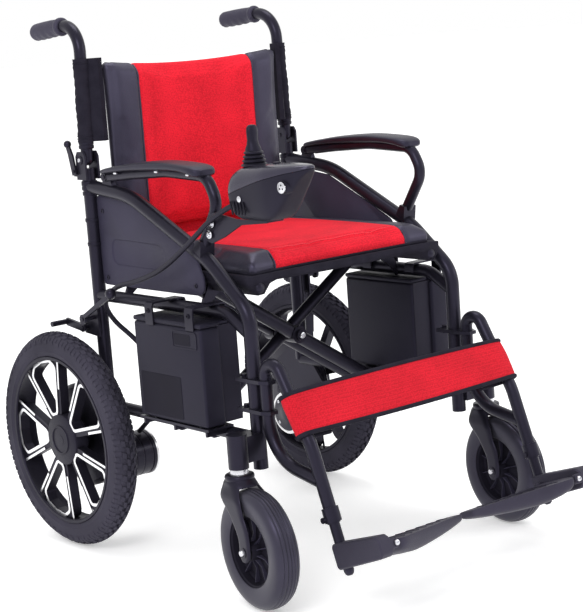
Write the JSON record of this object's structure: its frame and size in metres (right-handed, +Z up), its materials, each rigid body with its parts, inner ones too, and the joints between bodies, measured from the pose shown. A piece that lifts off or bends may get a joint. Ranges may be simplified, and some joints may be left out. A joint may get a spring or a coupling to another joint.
{
  "type": "folding power wheelchair",
  "caption": "Folding power wheelchair with cross-braced side frames, padded seat and back, joystick controller, hub-side drive wheels, casters and footrests",
  "frame": {"origin": "on the floor, under the middle of the chair's box", "axes": "+Z up, front towards -Y, the user's right side at -X"},
  "size_m": [0.6629, 1.0029, 0.9772],
  "materials": {
    "frame_paint": "satin charcoal powder coat",
    "tyre_rubber": "matt block tread",
    "caster_rubber": "satin",
    "rim_plastic": "satin with bright machined edges",
    "black_plastic": "fine grain",
    "case_plastic": "fine grain",
    "battery_block": "smooth",
    "grip_rubber": "ribbed",
    "pad_foam": "moulded grain",
    "red_mesh": "air mesh",
    "black_leatherette": "fine grain",
    "motor_steel": "cast, black barrel with bright ring",
    "bright_steel": "zinc",
    "cable_rubber": "smooth"
  },
  "bodies": {
    "right_frame": {"front_tube_right": "frame_paint", "rear_frame_right": "frame_paint", "battery_rail_right": "frame_paint", "hanger_right": "frame_paint", "side_panel_right": "black_plastic", "battery_case_right": "case_plastic", "battery_right": "battery_block", "gearbox_right": "motor_steel", "motor_right": "motor_steel", "controller_cable": "cable_rubber", "calf_strap": "red_mesh"},
    "brace_arm_a": {"cross_arm_a": "frame_paint", "cross_bolt": "bright_steel", "seat_cushion": "red_mesh"},
    "brace_arm_b": {"cross_arm_b": "frame_paint"},
    "left_frame": {"front_tube_left": "frame_paint", "rear_frame_left": "frame_paint", "battery_rail_left": "frame_paint", "hanger_left": "frame_paint", "side_panel_left": "black_plastic", "battery_case_left": "case_plastic", "battery_left": "battery_block", "gearbox_left": "motor_steel", "motor_left": "motor_steel"},
    "drive_wheel_right": {"drive_rim_right": "rim_plastic", "drive_tyre_right": "tyre_rubber"},
    "caster_swivel_right": {"caster_fork_right": "frame_paint"},
    "caster_wheel_right": {"caster_hub_right": "rim_plastic", "caster_tyre_right": "caster_rubber"},
    "armrest_right": {"arm_tube_right": "frame_paint", "arm_pad_right": "pad_foam", "controller_bracket": "frame_paint", "controller_upper_shell": "black_plastic", "controller_lower_shell": "black_plastic", "charge_socket": "bright_steel"},
    "footrest_right": {"foot_tube_right": "frame_paint"},
    "flip_plate_right": {"footplate_right": "black_plastic"},
    "lock_handle_right": {"lock_lever_right": "frame_paint"},
    "lock_arm_right": {"lock_shoe_right": "frame_paint"},
    "backrest_right": {"back_cane_right": "frame_paint", "grip_right": "grip_rubber", "back_cushion": "red_mesh"},
    "release_right": {"cane_release_right": "frame_paint"},
    "drive_wheel_left": {"drive_rim_left": "rim_plastic", "drive_tyre_left": "tyre_rubber"},
    "caster_swivel_left": {"caster_fork_left": "frame_paint"},
    "caster_wheel_left": {"caster_hub_left": "rim_plastic", "caster_tyre_left": "caster_rubber"},
    "armrest_left": {"arm_tube_left": "frame_paint", "arm_pad_left": "pad_foam"},
    "footrest_left": {"foot_tube_left": "frame_paint"},
    "flip_plate_left": {"footplate_left": "black_plastic"},
    "lock_handle_left": {"lock_lever_left": "frame_paint"},
    "lock_arm_left": {"lock_shoe_left": "frame_paint"},
    "backrest_left": {"back_cane_left": "frame_paint", "grip_left": "grip_rubber"},
    "release_left": {"cane_release_left": "frame_paint"},
    "gimbal": {"joystick_gimbal": "bright_steel"},
    "stick": {"joystick": "black_plastic"},
    "button": {"power_button": "black_plastic"}
  },
  "joints": [
    {"name": "fold", "type": "hinge", "parent": "right_frame", "child": "brace_arm_a", "pos_m": [-0.203, 0.008, 0.25], "axis": [0, -1, 0], "range_deg": [0, 35.5], "deforming": ["seat_cushion", "back_cushion", "calf_strap"]},
    {"name": "brace_cross", "type": "hinge", "parent": "brace_arm_a", "child": "brace_arm_b", "pos_m": [0, 0.008, 0.38079], "axis": [0, -1, 0], "range_deg": [-71, 0]},
    {"name": "brace_foot_left", "type": "hinge", "parent": "brace_arm_b", "child": "left_frame", "pos_m": [0.203, 0.008, 0.25], "axis": [0, -1, 0], "range_deg": [0, 35.5]},
    {"name": "drive_wheel_right_spin", "type": "hinge", "parent": "right_frame", "child": "drive_wheel_right", "pos_m": [-0.298, 0.304, 0.203], "axis": [1, 0, 0], "continuous": true},
    {"name": "caster_right_swivel", "type": "hinge", "parent": "right_frame", "child": "caster_swivel_right", "pos_m": [-0.293, -0.208, 0.24], "axis": [0, 0, 1], "continuous": true},
    {"name": "caster_right_spin", "type": "hinge", "parent": "caster_swivel_right", "child": "caster_wheel_right", "pos_m": [-0.29916, -0.25359, 0.1], "axis": [0.991, -0.134, 0], "continuous": true},
    {"name": "armrest_right_flip", "type": "hinge", "parent": "right_frame", "child": "armrest_right", "pos_m": [-0.236, 0.186, 0.69], "axis": [-1, 0, 0], "range_deg": [0, 90], "deforming": ["controller_cable"]},
    {"name": "footrest_right_height", "type": "slide", "parent": "right_frame", "child": "footrest_right", "axis": [0, -0.3373, -0.9414], "range_m": [-0.024, 0.03]},
    {"name": "footplate_right_flip", "type": "hinge", "parent": "footrest_right", "child": "flip_plate_right", "pos_m": [-0.215, -0.38888, 0.10011], "axis": [0, -0.9414, 0.3373], "range_deg": [0, 88.75]},
    {"name": "lock_lever_right_turn", "type": "hinge", "parent": "right_frame", "child": "lock_handle_right", "pos_m": [-0.281, 0.242, 0.432], "axis": [1, 0, 0], "range_deg": [0, 40]},
    {"name": "lock_shoe_right_press", "type": "hinge", "parent": "right_frame", "child": "lock_arm_right", "pos_m": [-0.267, 0.266, 0.412], "axis": [-1, 0, 0], "range_deg": [0, 5.5]},
    {"name": "back_fold_right", "type": "hinge", "parent": "right_frame", "child": "backrest_right", "pos_m": [-0.236, 0.249, 0.72], "axis": [-1, 0, 0], "range_deg": [0, 90]},
    {"name": "cane_release_right_pull", "type": "hinge", "parent": "right_frame", "child": "release_right", "pos_m": [-0.255, 0.266, 0.7], "axis": [-1, 0, 0], "range_deg": [0, 16], "stiffness_Nm_per_rad": 1},
    {"name": "drive_wheel_left_spin", "type": "hinge", "parent": "left_frame", "child": "drive_wheel_left", "pos_m": [0.298, 0.304, 0.203], "axis": [1, 0, 0], "continuous": true},
    {"name": "caster_left_swivel", "type": "hinge", "parent": "left_frame", "child": "caster_swivel_left", "pos_m": [0.293, -0.208, 0.24], "axis": [0, 0, 1], "continuous": true},
    {"name": "caster_left_spin", "type": "hinge", "parent": "caster_swivel_left", "child": "caster_wheel_left", "pos_m": [0.28684, -0.25359, 0.1], "axis": [0.991, -0.134, 0], "continuous": true},
    {"name": "armrest_left_flip", "type": "hinge", "parent": "left_frame", "child": "armrest_left", "pos_m": [0.236, 0.186, 0.69], "axis": [-1, 0, 0], "range_deg": [0, 90]},
    {"name": "footrest_left_height", "type": "slide", "parent": "left_frame", "child": "footrest_left", "axis": [0, -0.3373, -0.9414], "range_m": [-0.024, 0.03]},
    {"name": "footplate_left_flip", "type": "hinge", "parent": "footrest_left", "child": "flip_plate_left", "pos_m": [0.215, -0.38888, 0.10011], "axis": [0, 0.9414, -0.3373], "range_deg": [0, 88.75]},
    {"name": "lock_lever_left_turn", "type": "hinge", "parent": "left_frame", "child": "lock_handle_left", "pos_m": [0.281, 0.242, 0.432], "axis": [1, 0, 0], "range_deg": [0, 40]},
    {"name": "lock_shoe_left_press", "type": "hinge", "parent": "left_frame", "child": "lock_arm_left", "pos_m": [0.267, 0.266, 0.412], "axis": [-1, 0, 0], "range_deg": [0, 5.5]},
    {"name": "back_fold_left", "type": "hinge", "parent": "left_frame", "child": "backrest_left", "pos_m": [0.236, 0.249, 0.72], "axis": [-1, 0, 0], "range_deg": [0, 90]},
    {"name": "cane_release_left_pull", "type": "hinge", "parent": "left_frame", "child": "release_left", "pos_m": [0.255, 0.266, 0.7], "axis": [-1, 0, 0], "range_deg": [0, 16], "stiffness_Nm_per_rad": 1},
    {"name": "stick_side_tilt", "type": "hinge", "parent": "armrest_right", "child": "gimbal", "pos_m": [-0.236, -0.237, 0.708], "axis": [1, 0, 0], "range_deg": [-16, 16], "stiffness_Nm_per_rad": 0.2},
    {"name": "stick_fore_tilt", "type": "hinge", "parent": "gimbal", "child": "stick", "pos_m": [-0.236, -0.237, 0.708], "axis": [0, 1, 0], "range_deg": [-16, 16], "stiffness_Nm_per_rad": 0.2},
    {"name": "power_button_press", "type": "slide", "parent": "armrest_right", "child": "button", "axis": [0, 0, -1], "range_m": [0, 0.0014], "stiffness_N_per_m": 600}
  ],
  "couplings": [
    {"joint": "brace_cross", "follows": "fold", "ratio": -2},
    {"joint": "brace_foot_left", "follows": "fold", "ratio": 1},
    {"joint": "footplate_right_flip", "follows": "fold", "ratio": 2.5},
    {"joint": "lock_shoe_right_press", "follows": "lock_lever_right_turn", "ratio": 0.1375},
    {"joint": "footplate_left_flip", "follows": "fold", "ratio": 2.5},
    {"joint": "lock_shoe_left_press", "follows": "lock_lever_left_turn", "ratio": 0.1375},
    {"joint": "back_fold_left", "follows": "back_fold_right", "ratio": 1}
  ]
}
